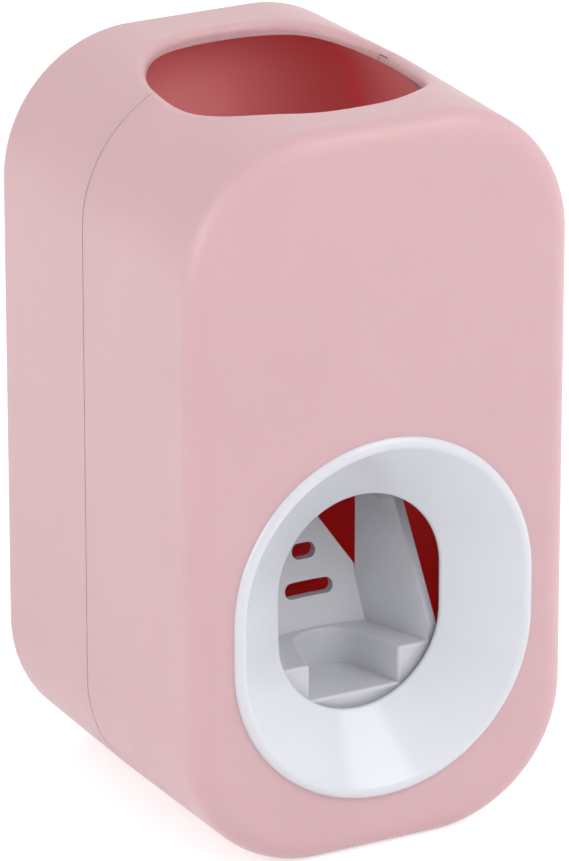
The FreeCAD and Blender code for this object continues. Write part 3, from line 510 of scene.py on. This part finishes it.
def add_camera():
    """The camera, which looks at the object from the photo's side and height."""
    back = Vector((
        math.sin(AZIMUTH) * math.cos(ELEVATION),
        -math.cos(AZIMUTH) * math.cos(ELEVATION),
        math.sin(ELEVATION),
    ))
    right = Vector((math.cos(AZIMUTH), math.sin(AZIMUTH), 0.0))
    up = back.cross(right)
    target = AIM + right * AIM_RIGHT + up * AIM_UP
    data = bpy.data.cameras.new("camera")
    data.lens = LENS
    data.sensor_width = SENSOR_WIDTH
    data.sensor_fit = "AUTO"
    data.clip_start = CLIP_START
    data.clip_end = CLIP_END
    camera = bpy.data.objects.new("camera", data)
    scene.collection.objects.link(camera)
    camera.location = target + back * DISTANCE
    camera.rotation_euler = back.to_track_quat("Z", "Y").to_euler()
    scene.camera = camera


def seen_directly(tree):
    """One for rays from the camera, mirrors and glass, nought for the light that the object gets."""
    path = tree.nodes.new("ShaderNodeLightPath")
    first = tree.nodes.new("ShaderNodeMath")
    first.operation = "MAXIMUM"
    second = tree.nodes.new("ShaderNodeMath")
    second.operation = "MAXIMUM"
    tree.links.new(path.outputs["Is Camera Ray"], first.inputs[0])
    tree.links.new(path.outputs["Is Glossy Ray"], first.inputs[1])
    tree.links.new(first.outputs[0], second.inputs[0])
    tree.links.new(path.outputs["Is Transmission Ray"], second.inputs[1])
    return second.outputs[0]


def light_world():
    """Even light from all round, in front of a background that shows as white."""
    world = bpy.data.worlds.new("studio")
    world.use_nodes = True
    scene.world = world
    tree = world.node_tree
    shown = tree.nodes["Background"]
    shown.inputs["Color"].default_value = PURE_WHITE
    shown.inputs["Strength"].default_value = 1.0
    light = add_node(tree, "ShaderNodeBackground", Color=PURE_WHITE, Strength=WORLD_LIGHT)
    mix = tree.nodes.new("ShaderNodeMixShader")
    tree.links.new(seen_directly(tree), mix.inputs["Fac"])
    tree.links.new(light.outputs["Background"], mix.inputs[1])
    tree.links.new(shown.outputs["Background"], mix.inputs[2])
    tree.links.new(mix.outputs["Shader"], tree.nodes["World Output"].inputs["Surface"])


def soft_box(name, place, size, power, mirrored):
    """A rectangular studio lamp that faces the object; mirrored says whether gloss shows it."""
    data = bpy.data.lights.new(name, "AREA")
    data.shape = "RECTANGLE"
    data.size = size[0]
    data.size_y = size[1]
    data.energy = power
    lamp = bpy.data.objects.new(name, data)
    scene.collection.objects.link(lamp)
    lamp.location = Vector(place)
    lamp.rotation_euler = (Vector(place) - MIDDLE).to_track_quat("Z", "Y").to_euler()
    lamp.visible_glossy = mirrored


def floor_paint():
    """A matt pale floor, lifted towards white where it is seen directly."""
    material = bpy.data.materials.new("floor")
    material.use_nodes = True
    tree = material.node_tree
    shader = tree.nodes["Principled BSDF"]
    shader.inputs["Base Color"].default_value = FLOOR_COLOUR
    shader.inputs["Roughness"].default_value = FLOOR_ROUGHNESS
    shader.inputs["Specular IOR Level"].default_value = 0.0
    glow = add_node(tree, "ShaderNodeEmission", Color=PURE_WHITE)
    glow_level = tree.nodes.new("ShaderNodeMath")
    glow_level.operation = "MULTIPLY"
    glow_level.inputs[1].default_value = FLOOR_LIFT
    tree.links.new(seen_directly(tree), glow_level.inputs[0])
    tree.links.new(glow_level.outputs[0], glow.inputs["Strength"])
    both = tree.nodes.new("ShaderNodeAddShader")
    tree.links.new(shader.outputs["BSDF"], both.inputs[0])
    tree.links.new(glow.outputs["Emission"], both.inputs[1])
    tree.links.new(both.outputs["Shader"], tree.nodes["Material Output"].inputs["Surface"])
    return material


def add_floor():
    """The floor, which keeps the object's soft shadow."""
    corners = [(x * FLOOR_HALF, y * FLOOR_HALF, 0.0) for x, y in ((-1, -1), (1, -1), (1, 1), (-1, 1))]
    mesh = bpy.data.meshes.new("floor")
    mesh.from_pydata(corners, [], [(0, 1, 2, 3)])
    mesh.materials.append(floor_paint())
    floor = bpy.data.objects.new("floor", mesh)
    scene.collection.objects.link(floor)
    floor.location.z = -FLOOR_DROP


dress_solids()
replace_shell("front_shell")
replace_shell("rear_shell")

# The bellows and the spring, which shorten as the plunger lifts in use, each on a mesh of its own
bellows = build_bellows()
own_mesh(bellows)
spring = build_spring()
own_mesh(spring)

add_camera()
light_world()
soft_box("key_box", place=(0.40, -0.45, 0.73), size=(0.55, 0.45), power=1.7, mirrored=True)
soft_box("front_box", place=(0.14, -0.70, 0.64), size=(0.7, 0.6), power=2.1, mirrored=False)
soft_box("right_box", place=(0.85, -0.34, 0.30), size=(0.5, 0.5), power=1.3, mirrored=False)
soft_box("back_box", place=(0.35, 0.80, 0.45), size=(0.6, 0.6), power=2.0, mirrored=False)
soft_box("left_box", place=(-0.88, -0.10, 0.38), size=(0.6, 0.6), power=3.1, mirrored=True)
add_floor()

scene.view_settings.view_transform = "Standard"
